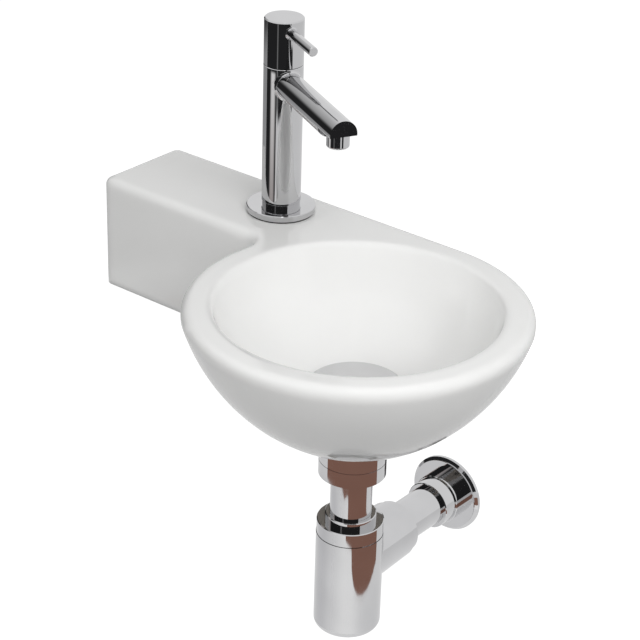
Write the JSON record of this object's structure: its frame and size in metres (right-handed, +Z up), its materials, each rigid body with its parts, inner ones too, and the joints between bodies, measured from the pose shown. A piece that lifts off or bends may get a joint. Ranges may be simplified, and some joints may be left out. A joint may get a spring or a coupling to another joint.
{
  "type": "hand basin",
  "caption": "Small wall-hung ceramic hand basin: round bowl with a side shelf carrying a pillar tap, push-open waste and chromed bottle trap to the wall.",
  "frame": {"origin": "on the wall plane, midway between the two wall-fixing holes", "axes": "+X along the wall from the shelf towards the bowl, -Y out of the wall towards the user, +Z up"},
  "size_m": [0.426, 0.271, 0.4368],
  "materials": {
    "ceramic": "glossy white glaze",
    "chrome": "polished",
    "brass": "turned",
    "steel": "zinc plated",
    "rubber": "matt black",
    "plastic": "moulded light grey",
    "disc_ceramic": "lapped"
  },
  "bodies": {
    "basin_set": {"basin": "ceramic", "fixing_sleeves": "plastic", "tap_gasket": "rubber", "tap_base_ring": "chrome", "tap_body": "chrome", "tap_shank": "brass", "tap_under_gasket": "rubber", "tap_under_washer": "steel", "tap_fixing_nut": "brass", "tap_spout": "chrome", "aerator_shell": "chrome", "aerator_insert": "plastic", "cartridge_body": "brass", "cartridge_seal": "rubber", "cartridge_fixed_disc": "disc_ceramic", "waste_flange_seal": "rubber", "waste_flange": "chrome", "plug_guide": "plastic", "waste_lower_seal": "rubber", "waste_collar": "chrome", "tail_nut": "chrome", "tail_seal": "rubber", "tailpipe": "chrome", "trap_head": "chrome", "trap_head_seal": "rubber", "trap_body": "chrome", "outlet_seal": "rubber", "outlet_nut": "chrome", "outlet_pipe": "chrome", "wall_rosette": "chrome", "rosette_sleeve": "chrome"},
    "handle": {"handle_cap": "chrome", "handle_lever": "chrome", "cartridge_spindle": "brass", "cartridge_moving_disc": "disc_ceramic"},
    "plug": {"waste_plug": "chrome", "plug_seal": "rubber", "plug_stem": "brass"}
  },
  "joints": [
    {"name": "handle_turn", "type": "hinge", "parent": "basin_set", "child": "handle", "pos_m": [0.0495, -0.04, 0.165], "axis": [0, 0, 1], "range_deg": [-90, 0]},
    {"name": "plug_press", "type": "slide", "parent": "basin_set", "child": "plug", "axis": [0, 0, 1], "range_m": [-0.006, 0]}
  ]
}
